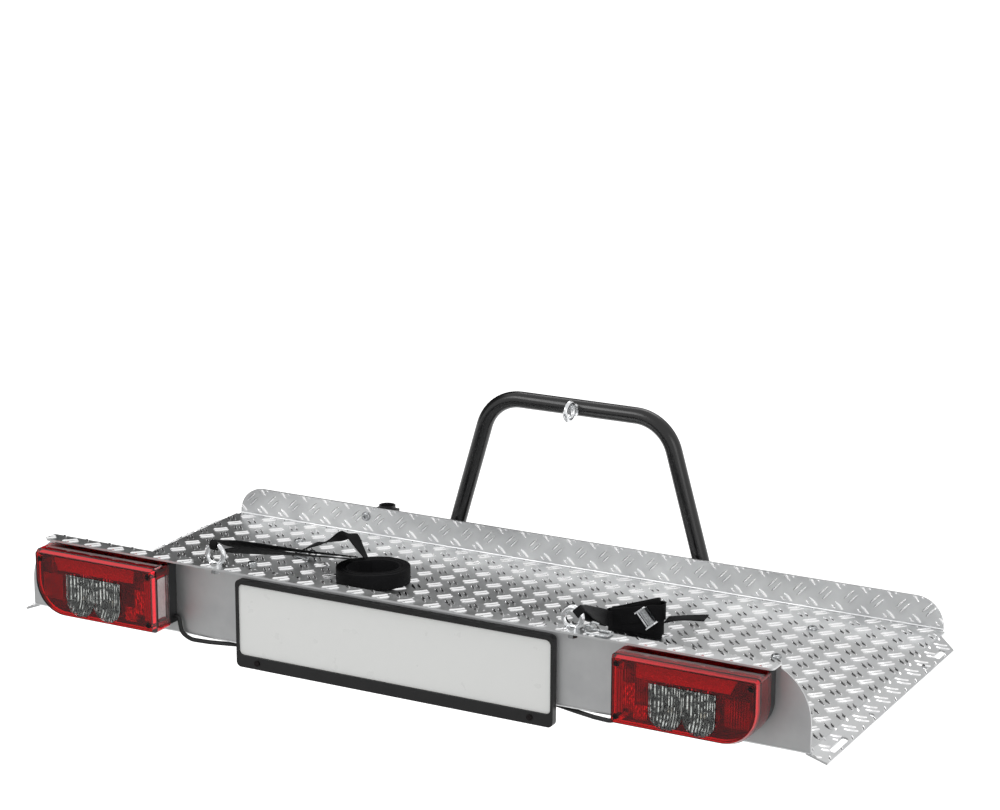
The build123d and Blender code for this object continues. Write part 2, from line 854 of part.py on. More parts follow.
def strap_left_hook():
    return Pos(-417, -187, 113.6) * Rot(0, 0, -108) * wire_hook()


def strap_right_hook():
    return Pos(354, -604, 233) * Rot(0, 0, 90) * wire_hook()


# Cam buckle on the right strap

def buckle_place():
    return Plane(origin=(260, -283, 146), x_dir=(-0.76, 0, -0.65), z_dir=(0, -1, 0))


def buckle_body():
    base = Box(21, 31, 1.6, align=(Align.CENTER, Align.CENTER, Align.MIN))
    base -= Pos(-6, 0, 0) * Box(4, 25, 8)
    base -= Pos(5.5, 0, 0) * Box(5, 25, 8)
    body = base
    for side in (-1, 1):
        wall = Pos(0, side * 14.5, 0) * Box(21, 2, 11, align=(Align.CENTER, Align.CENTER, Align.MIN))
        body += fillet(wall.edges().filter_by(Axis.Y).group_by(Axis.Z)[-1], 4)
    body -= Pos(*buckle_pivot) * Rot(90, 0, 0) * Cylinder(1.5, 40)
    return buckle_place() * body


def buckle_lever():
    cam = Pos(*buckle_pivot) * Rot(90, 0, 0) * Cylinder(4.0, 26)
    thumb = Pos(-5.5, 0, 9) * Box(9, 26, 2.2)
    lever = cam + thumb - Pos(*buckle_pivot) * Rot(90, 0, 0) * Cylinder(1.56, 40)
    return buckle_place() * lever


def buckle_pin():
    return buckle_place() * Pos(*buckle_pivot) * Rot(90, 0, 0) * Cylinder(1.5, 31)


os.makedirs("parts", exist_ok=True)

save("deck_tray", deck_tray())
for beam_name, beam_y in cross_beam_ys.items():
    save(beam_name, cross_beam(beam_y))
save("rail_left", main_rail(-1))
save("rail_right", main_rail(1))
save("front_beam", front_beam())
save("rail_caps", rail_caps())
save("cross_caps", cross_caps())
save("deck_screws", deck_screws())
save("m8_washers", m8_washers())
save("m8_nuts", m8_nuts())

save("hoop", hoop())
save("hoop_bolts", hoop_bolts())
save("hoop_eye", hoop_eye())
save("lash_eye_left", Pos(-eye_x, eye_y, lip_top_z) * eye_bolt(12))
save("lash_eye_right", Pos(eye_x, eye_y, lip_top_z) * eye_bolt(12))

lamp_pieces = {
    "base": lamp_base(),
    "seal": lamp_seal(),
    "lens": lamp_lens(),
    "window": lamp_window(),
    "board": lamp_board(),
    "bulbs": lamp_bulbs(),
    "screws": lamp_screws(),
}
plate_light = plate_light_window()
for piece_name, piece in lamp_pieces.items():
    other = mirrored(piece)
    if piece_name == "lens":
        other -= plate_light
    save(f"lamp_{piece_name}_left", other)
    save(f"lamp_{piece_name}_right", piece)
save("plate_light_window", plate_light)

save("plate_holder", plate_holder())
save("number_plate", number_plate())
save("holder_screws", holder_screws())

save("coupling_housing", coupling_housing())
save("coupling_bolts", coupling_bolts())
save("clamp_jaw", clamp_jaw())
save("clamp_lever", clamp_lever())
save("lever_grip", lever_grip())
save("clamp_pin", clamp_pin())
save("plug_bracket", plug_bracket())

save("lamp_cable_left", cable(left_cable_points(), "left cable"))
save("lamp_cable_right", cable(right_cable_points(), "right cable"))
save("cable_clips", cable_clips())
save("junction_box", junction_box())
save("cable_glands", cable_glands())

save("strap_left_coil", strap_left_coil())
save("strap_left_run", strap_left_run())
save("strap_left_end", strap_left_end())
save("strap_left_hook", strap_left_hook())
save("strap_right_hank", strap_right_hank())
save("strap_right_run", strap_right_run())
save("strap_right_end", strap_right_end())
save("strap_right_hook", strap_right_hook())
save("buckle_body", buckle_body())
save("buckle_lever", buckle_lever())
save("buckle_pin", buckle_pin())
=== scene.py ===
import bpy
import math
from mathutils import Matrix, Vector


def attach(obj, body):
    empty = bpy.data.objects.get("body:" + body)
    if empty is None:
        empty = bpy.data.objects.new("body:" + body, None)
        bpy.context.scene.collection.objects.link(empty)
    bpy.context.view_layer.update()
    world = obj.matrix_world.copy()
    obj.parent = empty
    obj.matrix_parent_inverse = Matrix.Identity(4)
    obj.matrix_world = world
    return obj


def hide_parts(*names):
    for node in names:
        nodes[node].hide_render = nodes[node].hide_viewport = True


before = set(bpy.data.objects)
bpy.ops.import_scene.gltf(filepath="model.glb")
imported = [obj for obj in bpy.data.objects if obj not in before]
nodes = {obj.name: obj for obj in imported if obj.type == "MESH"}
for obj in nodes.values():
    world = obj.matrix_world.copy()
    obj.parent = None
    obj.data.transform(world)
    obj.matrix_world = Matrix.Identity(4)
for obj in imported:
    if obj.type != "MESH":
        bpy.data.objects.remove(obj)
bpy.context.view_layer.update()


def mm(*values):
    scaled = [value / 1000 for value in values]
    return scaled[0] if len(scaled) == 1 else tuple(scaled)


# small helpers for modelling

def deselectAll():
    if bpy.context.mode != "OBJECT":
        bpy.ops.object.mode_set(mode="OBJECT")
    bpy.ops.object.select_all(action="DESELECT")


def makeActive(piece):
    deselectAll()
    piece.select_set(True)
    bpy.context.view_layer.objects.active = piece


def editSelected(piece, faceTest=None, vertexTest=None):
    makeActive(piece)
    mesh = piece.data
    for group in (mesh.vertices, mesh.edges, mesh.polygons):
        group.foreach_set("select", [False] * len(group))
    if faceTest:
        for face in mesh.polygons:
            face.select = faceTest(face)
        bpy.ops.object.mode_set(mode="EDIT")
        bpy.ops.mesh.select_mode(type="FACE")
    else:
        for vertex in mesh.vertices:
            vertex.select = vertexTest(vertex)
        bpy.ops.object.mode_set(mode="EDIT")
        bpy.ops.mesh.select_mode(type="VERT")


def applyModifiers(piece):
    makeActive(piece)
    for modifier in list(piece.modifiers):
        bpy.ops.object.modifier_apply(modifier=modifier.name)


def bevelEdges(piece, width, segments=3, angle=35):
    bevel = piece.modifiers.new("edges", "BEVEL")
    bevel.width = mm(width)
    bevel.segments = segments
    bevel.limit_method = "ANGLE"
    bevel.angle_limit = math.radians(angle)
    applyModifiers(piece)


def smoothByAngle(piece, angle=35):
    makeActive(piece)
    bpy.ops.object.shade_smooth_by_angle(angle=math.radians(angle))


def place(piece, matrix):
    piece.matrix_world = matrix
    makeActive(piece)
    bpy.ops.object.transform_apply(location=True, rotation=True, scale=True)


def finishPiece(piece, name, material, replaces=()):
    piece.name = name
    piece.data.name = name
    piece.data.materials.clear()
    piece.data.materials.append(material)
    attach(piece, "platform")
    if replaces:
        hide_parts(*replaces)
    return piece


def cuboid(low, high):
    centre = [(a + b) / 2000 for a, b in zip(low, high)]
    deselectAll()
    bpy.ops.mesh.primitive_cube_add(size=1, location=centre)
    piece = bpy.context.object
    piece.scale = [(b - a) / 1000 for a, b in zip(low, high)]
    bpy.ops.object.transform_apply(location=True, rotation=True, scale=True)
    return piece


def joined(pieces):
    makeActive(pieces[0])
    for piece in pieces:
        piece.select_set(True)
    bpy.ops.object.join()
    return bpy.context.object


def copyAt(piece, matrix):
    copy = piece.copy()
    copy.data = piece.data.copy()
    bpy.context.scene.collection.objects.link(copy)
    copy.data.transform(matrix)
    return copy


def mirroredCopy(piece):
    copy = copyAt(piece, Matrix.Scale(-1, 4, (1, 0, 0)))
    editSelected(copy, faceTest=lambda face: True)
    bpy.ops.mesh.flip_normals()
    bpy.ops.object.mode_set(mode="OBJECT")
    return copy


# materials

def srgb(text):
    channels = [int(text[i:i + 2], 16) / 255 for i in (1, 3, 5)]
    linear = [c / 12.92 if c <= 0.04045 else ((c + 0.055) / 1.055) ** 2.4 for c in channels]
    return (*linear, 1.0)


def addNode(tree, kind, settings=None, links=None):
    node = tree.nodes.new(kind)
    for name, value in (settings or {}).items():
        if name in node.inputs:
            node.inputs[name].default_value = value
        else:
            setattr(node, name, value)
    for socket, source in (links or {}).items():
        tree.links.new(source, node.inputs[socket])
    return node


def newMaterial(name, settings):
    material = bpy.data.materials.new(name)
    material.use_nodes = True
    tree = material.node_tree
    shader = tree.nodes["Principled BSDF"]
    for socket, value in settings.items():
        shader.inputs[socket].default_value = value
    spot = addNode(tree, "ShaderNodeTexCoord")
    return material, tree, shader, spot.outputs["Object"]


def grain(tree, coords, size, detail=4):
    return addNode(tree, "ShaderNodeTexNoise", {"Scale": 1000 / size, "Detail": detail}, {"Vector": coords})


def ribs(tree, coords, pitch, direction):
    # a wave texture runs through one wave in 2 pi / (20 scale)
    scale = 2 * math.pi / (20 * mm(pitch))
    settings = {"wave_type": "BANDS", "bands_direction": direction, "Scale": scale}
    return addNode(tree, "ShaderNodeTexWave", settings, {"Vector": coords})


def spread(tree, value, low, high, fromLow=0.3, fromHigh=0.7):
    settings = {"From Min": fromLow, "From Max": fromHigh, "To Min": low, "To Max": high}
    return addNode(tree, "ShaderNodeMapRange", settings, {"Value": value})


def bumpInto(tree, shader, height, distance, strength=1.0):
    settings = {"Strength": strength, "Distance": mm(distance)}
    bump = addNode(tree, "ShaderNodeBump", settings, {"Height": height})
    tree.links.new(bump.outputs["Normal"], shader.inputs["Normal"])


def twoColours(tree, shader, factor, first, second):
    mix = addNode(tree, "ShaderNodeMix", {"data_type": "RGBA"})
    mix.inputs[6].default_value = srgb(first)
    mix.inputs[7].default_value = srgb(second)
    tree.links.new(factor, mix.inputs[0])
    tree.links.new(mix.outputs[2], shader.inputs["Base Color"])


def multiplied(tree, first, second):
    product = addNode(tree, "ShaderNodeMath", {"operation": "MULTIPLY"})
    tree.links.new(first, product.inputs[0])
    tree.links.new(second, product.inputs[1])
    return product.outputs[0]


def whereBelow(tree, vector, level):
    # 1 where the Y of a vector lies below the level
    parts = addNode(tree, "ShaderNodeSeparateXYZ", links={"Vector": vector})
    below = addNode(tree, "ShaderNodeMath", {"operation": "LESS_THAN"})
    tree.links.new(parts.outputs["Y"], below.inputs[0])
    below.inputs[1].default_value = level
    return below.outputs[0]


def rolledAluminium(name, light, dark, roughness, dullRear=0.0):
    # mill-finish tread plate: bright, cloudy at 60 mm, with fine rolling marks and a few scuffs
    # the tail's outer face is the plain back of the sheet, and duller
    material, tree, shader, coords = newMaterial(name, {"Metallic": 1.0, "Roughness": roughness})
    clouds = grain(tree, coords, 60)
    stretched = addNode(tree, "ShaderNodeMapping", {"Scale": (0.06, 1.0, 1.0)}, {"Vector": coords})
    marks = grain(tree, stretched.outputs["Vector"], 1.6, 2)
    share = spread(tree, clouds.outputs["Fac"], 0.0, 1.0)
    twoColours(tree, shader, share.outputs["Result"], light, dark)
    rough = spread(tree, clouds.outputs["Fac"], roughness - 0.05, roughness + 0.07)
    facing = addNode(tree, "ShaderNodeTexCoord").outputs["Normal"]
    rear = multiplied(tree, whereBelow(tree, facing, -0.9), whereBelow(tree, coords, -0.58))
    duller = addNode(tree, "ShaderNodeMath", {"operation": "MULTIPLY_ADD"})
    tree.links.new(rear, duller.inputs[0])
    duller.inputs[1].default_value = dullRear
    tree.links.new(rough.outputs["Result"], duller.inputs[2])
    tree.links.new(duller.outputs[0], shader.inputs["Roughness"])
    bumpInto(tree, shader, marks.outputs["Fac"], 0.03, 0.5)
    return material


def mouldedBlack(name, colour, roughness, pitSize, pitDepth):
    # spark-eroded tool finish: fine pits that break up the gloss
    settings = {"Base Color": srgb(colour), "Roughness": roughness, "IOR": 1.5}
    material, tree, shader, coords = newMaterial(name, settings)
    pits = grain(tree, coords, pitSize)
    patches = grain(tree, coords, 25)
    rough = spread(tree, patches.outputs["Fac"], roughness - 0.06, roughness + 0.08)
    tree.links.new(rough.outputs["Result"], shader.inputs["Roughness"])
    bumpInto(tree, shader, pits.outputs["Fac"], pitDepth, 0.6)
    return material


def platedSteel(name, light, dark, roughness):
    # electroplated zinc or chrome: fine spangle, slightly uneven tone
    material, tree, shader, coords = newMaterial(name, {"Metallic": 1.0, "Roughness": roughness})
    spangle = grain(tree, coords, 3.0)
    share = spread(tree, spangle.outputs["Fac"], 0.0, 1.0)
    twoColours(tree, shader, share.outputs["Result"], light, dark)
    rough = spread(tree, spangle.outputs["Fac"], roughness * 0.8, roughness * 1.3)
    tree.links.new(rough.outputs["Result"], shader.inputs["Roughness"])
    bumpInto(tree, shader, spangle.outputs["Fac"], 0.02, 0.3)
    return material


def mouldedAcrylic(name, colour, transmission, roughness):
    # polished injection-moulded acrylic, coloured through, with faint flow waves
    settings = {
        "Base Color": srgb(colour), "Roughness": roughness, "IOR": 1.49, "Transmission Weight": transmission,
    }
    material, tree, shader, coords = newMaterial(name, settings)
    waves = grain(tree, coords, 14, 2)
    bumpInto(tree, shader, waves.outputs["Fac"], 0.06, 0.25)
    return material


def paintedStreakReflector(name, bright, dark, pitch, breakSize, roughness):
    # vacuum-metallised plastic with vertical optics; its colour is painted light: bright streaks of painted
    # highlight broken by dark gaps of painted shade, where the flutes' reflections would be
    material, tree, shader, coords = newMaterial(name, {"Metallic": 1.0, "Roughness": roughness})
    flutes = ribs(tree, coords, pitch, "X")
    breaks = grain(tree, coords, breakSize, 2)
    lines = spread(tree, flutes.outputs["Fac"], 0.0, 1.0, 0.4, 0.8)
    sharp = spread(tree, breaks.outputs["Fac"], 0.0, 1.0, 0.44, 0.58)
    paintedStreaks = multiplied(tree, lines.outputs["Result"], sharp.outputs["Result"])
    # painted highlight streaks (bright) over painted shade gaps (dark), mixed into the base colour
    twoColours(tree, shader, paintedStreaks, dark, bright)
    bumpInto(tree, shader, flutes.outputs["Fac"], 0.8, 0.6)
    return material


def wovenWebbing(name, pitch):
    # black polyester webbing, dull, with ribs across the band and a fine twill
    # its UV map is in metres along and across the band
    # the real 1.2 mm rib is drawn 2.4 mm so that it shows
    settings = {"Roughness": 0.7, "IOR": 1.4, "Specular IOR Level": 0.2}
    material, tree, shader, coords = newMaterial(name, settings)
    band = addNode(tree, "ShaderNodeUVMap")
    across = ribs(tree, band.outputs["UV"], pitch, "X")
    along = ribs(tree, band.outputs["UV"], pitch * 1.3, "Y")
    weave = multiplied(tree, across.outputs["Fac"], along.outputs["Fac"])
    patches = grain(tree, coords, 30)
    share = spread(tree, patches.outputs["Fac"], 0.0, 1.0)
    twoColours(tree, shader, share.outputs["Result"], "#09090a", "#131315")
    bumpInto(tree, shader, weave, 0.4, 0.8)
    return material


finishes = {
    "sheet": rolledAluminium("millFinishAluminium", "#d0d1d1", "#c0c1c2", 0.33, 0.17),
    # the bars are the sheet's own metal: their lighter colour is a painted highlight, their lower roughness
    # the polish
    "bars": rolledAluminium("polishedTreadBarsPaintedHighlight", "#f8f8f8", "#e8e8e9", 0.15),
    "galvanised": platedSteel("galvanisedSteel", "#a3a7aa", "#83888c", 0.42),
    "zinc": platedSteel("zincPlatedSteel", "#b4b6b7", "#8c8e90", 0.22),
    "darkSteel": platedSteel("blackOxideScrews", "#3a3636", "#242122", 0.35),
    "chrome": platedSteel("brightChrome", "#e6e7e8", "#cfd1d3", 0.1),
    "powder": mouldedBlack("blackPowderCoat", "#0c0c0d", 0.22, 1.8, 0.06),
    "plastic": mouldedBlack("blackPolypropylene", "#121213", 0.42, 0.9, 0.05),
    "rubber": mouldedBlack("blackRubber", "#111112", 0.6, 1.2, 0.06),
    "casting": mouldedBlack("blackenedCasting", "#2a2a2b", 0.5, 2.5, 0.2),
    "webbing": wovenWebbing("polyesterWebbing", 2.4),
    "redLens": mouldedAcrylic("redAcrylic", "#d41022", 1.0, 0.03),
    "clearLens": mouldedAcrylic("clearAcrylic", "#ece6e6", 1.0, 0.05),
    "smokedLens": mouldedAcrylic("smokedAcrylic", "#d2d4d2", 1.0, 0.02),
    # board, cups and facets: their colour holds painted highlight streaks and painted shade gaps
    "board": paintedStreakReflector("metallisedBoardPaintedStreaks", "#bcb4b4", "#7c7474", 3.6, 16, 0.2),
    "cups": paintedStreakReflector("flutedReflectorPaintedStreaks", "#ffffff", "#0d0f0f", 4.4, 9, 0.1),
    "band": platedSteel("metallisedPanel", "#c8c4c4", "#a8a4a4", 0.3),
    "facets": paintedStreakReflector("facetReflectorPaintedStreaks", "#ffffff", "#8e8282", 3.2, 5, 0.12),
    "bowl": platedSteel("satinReflector", "#ffffff", "#ececec", 0.5),
    "plate": mouldedBlack("reflectivePlateSheet", "#e4e5e3", 0.32, 1.2, 0.02),
    "bulb": mouldedAcrylic("bulbGlass", "#f2e8d8", 1.0, 0.02),
}

nodeFinishes = {
    "sheet": ["deck_tray"],
    "galvanised": ["beam_front", "beam_mid", "beam_rear"],
    "powder": ["rail_left", "rail_right", "front_beam", "hoop", "coupling_housing"],
    "plastic": [
        "rail_caps", "cross_caps", "plate_holder", "plug_bracket", "cable_clips", "junction_box",
        "cable_glands", "lamp_base_left", "lamp_base_right",
    ],
    "zinc": [
        "deck_screws", "m8_washers", "m8_nuts", "hoop_bolts", "coupling_bolts", "clamp_lever",
        "clamp_pin", "buckle_pin", "buckle_lever", "strap_left_hook", "strap_right_hook",
    ],
    "darkSteel": ["holder_screws", "lamp_screws_left", "lamp_screws_right"],
    "chrome": ["hoop_eye", "lash_eye_left", "lash_eye_right", "buckle_body"],
    "board": ["lamp_board_left", "lamp_board_right"],
    "plate": ["number_plate"],
    "casting": ["clamp_jaw"],
    "rubber": ["lever_grip", "lamp_cable_left", "lamp_cable_right", "lamp_seal_left", "lamp_seal_right"],
    "redLens": ["lamp_lens_left", "lamp_lens_right"],
    "smokedLens": ["lamp_window_left", "lamp_window_right"],
    "clearLens": ["plate_light_window"],
    "bulb": ["lamp_bulbs_left", "lamp_bulbs_right"],
}
for finish, names in nodeFinishes.items():
    for name in names:
        for holder in nodes[name].material_slots:
            holder.material = finishes[finish]
print("materials done")


# camera and light

photoView = {
    "lens": 97.547,
    "place": (1.87942, -3.77747, 1.47309),
    "yaw": 28.159,
    "pitch": 14.580,
    "roll": 0.216,
}


def addCamera(view):
    camera = bpy.data.objects.new("camera", bpy.data.cameras.new("camera"))
    bpy.context.scene.collection.objects.link(camera)
    camera.data.lens = view["lens"]
    camera.data.sensor_width = 36
    turn = Matrix.Rotation(math.radians(view["yaw"]), 4, "Z")
    turn @= Matrix.Rotation(math.radians(90 - view["pitch"]), 4, "X")
    turn @= Matrix.Rotation(math.radians(view["roll"]), 4, "Z")
    camera.matrix_world = Matrix.Translation(view["place"]) @ turn
    camera.data.clip_end = 200
    bpy.context.scene.camera = camera


studio = {
    "floorHeight": -0.38,
    "floorSize": 120.0,
    "floorGlow": 0.62,
    "key": ((-1.6, -2.6, 2.6), (0, -0.3, 0.1), (2.2, 1.4), 37),
    "rim": ((-0.6, 2.2, 3.2), (0, -0.3, 0.1), (3.0, 1.2), 28),
    "fill": ((2.8, -1.8, 1.2), (0, -0.4, 0.1), (1.6, 1.6), 12),
    "ambient": 0.55,
    # place, size, tilt, turn and level of the boards that the metal mirrors
    "cards": (
        ("cardLeft", (-4.6, 2.6, 2.7), (6.8, 5.2), 90, 0, 0.03),
        ("cardSide", (-8.0, -0.5, 3.5), (6.2, 7.0), 90, 90, 0.1),
        ("cardRight", (-0.2, 2.7, 1.1), (2.4, 1.5), 90, 0, 0.4),
        ("cardFront", (-0.9, -2.6, -0.36), (6.0, 3.8), 0, 0, 0.42),
    ),
}


def softLamp(name, spot, target, size, power):
    lamp = bpy.data.lights.new(name, "AREA")
    lamp.shape = "RECTANGLE"
    lamp.size, lamp.size_y = size
    lamp.energy = power
    holder = bpy.data.objects.new(name, lamp)
    bpy.context.scene.collection.objects.link(holder)
    aim = Vector(target) - Vector(spot)
    holder.matrix_world = Matrix.Translation(spot) @ aim.to_track_quat("-Z", "Y").to_matrix().to_4x4()


def whiteForEye(tree):
    # 1 for the rays that see the background straight, in a mirror or through glass
    rays = addNode(tree, "ShaderNodeLightPath")
    share = rays.outputs["Is Camera Ray"]
    for kind in ("Is Glossy Ray", "Is Transmission Ray"):
        larger = addNode(tree, "ShaderNodeMath", {"operation": "MAXIMUM"})
        tree.links.new(share, larger.inputs[0])
        tree.links.new(rays.outputs[kind], larger.inputs[1])
        share = larger.outputs[0]
    return share


def setWorld(level):
    world = bpy.data.worlds.new("studio")
    bpy.context.scene.world = world
    world.use_nodes = True
    tree = world.node_tree
    tree.nodes.clear()
    white = addNode(tree, "ShaderNodeBackground", {"Color": (1, 1, 1, 1), "Strength": 1.0})
    soft = addNode(tree, "ShaderNodeBackground", {"Color": (1, 1, 1, 1), "Strength": level})
    mix = addNode(tree, "ShaderNodeMixShader")
    tree.links.new(whiteForEye(tree), mix.inputs[0])
    tree.links.new(soft.outputs[0], mix.inputs[1])
    tree.links.new(white.outputs[0], mix.inputs[2])
    out = addNode(tree, "ShaderNodeOutputWorld")
    tree.links.new(mix.outputs[0], out.inputs["Surface"])


def addFloor(spec):
    # matt white paint; a little glow for the eye alone lifts it to white and leaves the shadow
    deselectAll()
    bpy.ops.mesh.primitive_plane_add(size=spec["floorSize"], location=(0, 0, spec["floorHeight"]))
    floor = bpy.context.object
    floor.name = "floor"
    paint = {"Base Color": srgb("#fafafa"), "Roughness": 0.9}
    material, tree, shader, coords = newMaterial("paintedFloor", paint)
    shader.inputs["Specular IOR Level"].default_value = 0.0
    glow = addNode(tree, "ShaderNodeMath", {"operation": "MULTIPLY"})
    tree.links.new(whiteForEye(tree), glow.inputs[0])
    glow.inputs[1].default_value = spec["floorGlow"]
    shader.inputs["Emission Color"].default_value = (1, 1, 1, 1)
    tree.links.new(glow.outputs[0], shader.inputs["Emission Strength"])
    floor.data.materials.append(material)


def addCard(name, spot, size, tilt, turn, level):
    # a grey board outside the picture, seen only in the metal
    deselectAll()
    aim = (math.radians(tilt), 0, math.radians(turn))
    bpy.ops.mesh.primitive_plane_add(size=1, location=spot, rotation=aim)
    card = bpy.context.object
    card.name = name
    card.scale = (size[0], size[1], 1)
    bpy.ops.object.transform_apply(location=True, rotation=True, scale=True)
    material, tree, shader, coords = newMaterial(name, {"Base Color": (0, 0, 0, 1), "Roughness": 1.0})
    shader.inputs["Specular IOR Level"].default_value = 0.0
    shader.inputs["Emission Color"].default_value = (1, 1, 1, 1)
    shader.inputs["Emission Strength"].default_value = level
    card.data.materials.append(material)
    card.visible_camera = False
    card.visible_diffuse = False
    card.visible_shadow = False
    card.visible_transmission = False


addCamera(photoView)
for name in ("key", "rim", "fill"):
    softLamp(name, *studio[name])
setWorld(studio["ambient"])
bpy.context.scene.view_settings.view_transform = "Standard"
addFloor(studio)
for card in studio["cards"]:
    addCard(*card)
print("camera and light done")


# tread bars on the tray

tread = {
    "pitch": 42.2,      # square grid of one bar direction
    "length": 25.0,
    "width": 5.4,
    "height": 1.8,
    "pairGap": 9.0,
    "firstX": -611.5,
    "firstY": -40.7,
}

tray = {
    "floorTop": 110,
    "floorHalf": 641,
    "flangeHalf": 636,
    "flangeCorner": (591, 3, 45),   # centre across and above the floor, radius
    "tailHalf": 646,
    "tailCorner": (564, 40, 80.5),
    "lipHole": 660,
    "lipCuts": ((-520, 57), (-393, 9), (-176, 9), (-110, 36)),
}


def treadBar(spec):
    deselectAll()
    bpy.ops.mesh.primitive_circle_add(vertices=12, radius=1, fill_type="NGON")
    bar = bpy.context.object
    bar.scale = mm(spec["length"] / 2, spec["width"] / 2, 1000)
    bpy.ops.object.transform_apply(location=True, rotation=True, scale=True)
    for vertex in bar.data.vertices:
        along = abs(vertex.co.x) / mm(spec["length"] / 2)
        vertex.co.y *= 1 - 0.35 * along ** 2
        vertex.co.z = mm(-0.2)
    editSelected(bar, faceTest=lambda face: True)
    bpy.ops.mesh.extrude_region_move(TRANSFORM_OT_translate={"value": mm(0, 0, spec["height"] * 0.75 + 0.2)})
    bpy.ops.transform.resize(value=(0.88, 0.6, 1.0))
    bpy.ops.mesh.extrude_region_move(TRANSFORM_OT_translate={"value": mm(0, 0, spec["height"] * 0.25)})
    bpy.ops.transform.resize(value=(0.82, 0.5, 1.0))
    bpy.ops.object.mode_set(mode="OBJECT")
    return bar


def treadCell(bar, spec):
    parts = []
    for turn, shift in ((45, 0), (-45, spec["pitch"] / 2)):
        for side in (-0.5, 0.5):
            step = Matrix.Translation(mm(0, side * spec["pairGap"], 0))
            turned = Matrix.Rotation(math.radians(turn), 4, "Z")
            parts.append(copyAt(bar, Matrix.Translation(mm(shift, shift, 0)) @ turned @ step))
    bpy.data.objects.remove(bar)
    return joined(parts)


def cutField(field, point, out, clear=True):
    editSelected(field, vertexTest=lambda vertex: True)
    bpy.ops.mesh.bisect(plane_co=mm(*point, 0), plane_no=(*out, 0), use_fill=clear, clear_outer=clear)
    bpy.ops.object.mode_set(mode="OBJECT")


def treadField(cell, name, low, high, phase, onto, trims=(), holes=()):
    # a grid of cells over a rectangle, cut at its edges, the trims and the holes, then laid on the sheet
    pitch = tread["pitch"]
    first = [math.floor((low[i] - phase[i]) / pitch) - 1 for i in (0, 1)]
    last = [math.ceil((high[i] - phase[i]) / pitch) + 1 for i in (0, 1)]
    start = Matrix.Translation(mm(phase[0] + first[0] * pitch, phase[1] + first[1] * pitch, 0))
    field = copyAt(cell, start)
    for axis in (0, 1):
        array = field.modifiers.new("grid", "ARRAY")
        array.use_relative_offset = False
        array.use_constant_offset = True
        array.constant_offset_displace = [mm(pitch) if i == axis else 0 for i in range(3)]
        array.count = last[axis] - first[axis]
    applyModifiers(field)
    cuts = [((low[0], 0), (-1, 0)), ((high[0], 0), (1, 0)), ((0, low[1]), (0, -1)), ((0, high[1]), (0, 1))]
    for point, out in cuts + list(trims):
        cutField(field, point, out)
    for x, y, width, length in holes:
        sides = [((x + side * width / 2, 0), (1, 0)) for side in (-1, 1)]
        sides += [((0, y + side * length / 2), (0, 1)) for side in (-1, 1)]
        for point, out in sides:
            cutField(field, point, out, clear=False)
        inside = lambda face: (
            abs(face.center.x - mm(x)) < mm(width / 2) and abs(face.center.y - mm(y)) < mm(length / 2)
        )
        editSelected(field, faceTest=inside)
        bpy.ops.mesh.delete(type="FACE")
        bpy.ops.object.mode_set(mode="OBJECT")
    place(field, onto)
    return field


def roundCorner(centre, radius, side, steps=7):
    trims = []
    for step in range(1, steps):
        angle = math.radians(90 * step / steps)
        out = (side * math.cos(angle), math.sin(angle))
        trims.append(((centre[0] + radius * out[0], centre[1] + radius * out[1]), out))
    return trims


def sheetPlane(origin, across, up):
    across = Vector(across).normalized()
    up = Vector(up).normalized()
    normal = across.cross(up)
    turn = Matrix((across, up, normal)).transposed().to_4x4()
    return Matrix.Translation(mm(*origin)) @ turn


def bothCorners(corner):
    x, z, radius = corner
    return roundCorner((x, z), radius, 1) + roundCorner((-x, z), radius, -1)


def addTread():
    cell = treadCell(treadBar(tread), tread)
    firstX, firstY = tread["firstX"], tread["firstY"]
    top = tray["floorTop"]
    fields = []
    half = tray["floorHalf"] - 2
    onFloor = sheetPlane((0, 0, top), (1, 0, 0), (0, 1, 0))
    fields.append(treadField(cell, "floor", (-half, -584), (half, -30), (firstX, firstY), onFloor))
    half = tray["flangeHalf"] - 1
    onFlange = sheetPlane((0, -26, top), (1, 0, 0), (0, 0, 1))
    trims = bothCorners(tray["flangeCorner"])
    fields.append(treadField(cell, "flange", (-half, 6), (half, 47), (firstX, -14), onFlange, trims))
    half = tray["tailHalf"] - 1
    onTail = sheetPlane((0, -587, top), (-1, 0, 0), (0, 0, 1))
    trims = bothCorners(tray["tailCorner"])
    fields.append(treadField(cell, "tail", (-half, 5), (half, 112), (firstX, 4), onTail, trims))
    onLip = sheetPlane((0, 0, 231), (1, 0, 0), (0, 1, 0))
    fields.append(treadField(cell, "lip", (-599, -616.5), (599, -594), (-599.6, -610), onLip))
    for side in (-1, 1):
        # the side lip falls 12 mm over 30 mm, and the pattern runs on over its bend
        bend = side * (tray["floorHalf"] - 2)
        onSide = sheetPlane((bend, 0, top), (30, 0, -12 * side), (0, 1, 0))
        low, high = sorted((side * 1.5, side * 31))
        rearTrim = ((side * 2, -588), (side * math.sin(math.radians(10)), -math.cos(math.radians(10))))
        frontTrim = ((side * 2, -51), (side * math.sin(math.radians(38)), math.cos(math.radians(38))))
        outwards = side * (tray["lipHole"] - abs(bend)) / math.cos(math.atan2(12, 30))
        holes = [(outwards, y, 10.5, length + 1) for y, length in tray["lipCuts"]]
        phase = (firstX - bend, firstY)
        trims = [rearTrim, frontTrim]
        fields.append(treadField(cell, "side", (low, -586), (high, -52), phase, onSide, trims, holes))
    bars = joined(fields)
    bpy.data.objects.remove(cell)
    smoothByAngle(bars, 25)
    finishPiece(bars, "tread_bars", finishes["bars"])


addTread()
print("tread done")


# inside the tail lamps, modelled on the right and mirrored

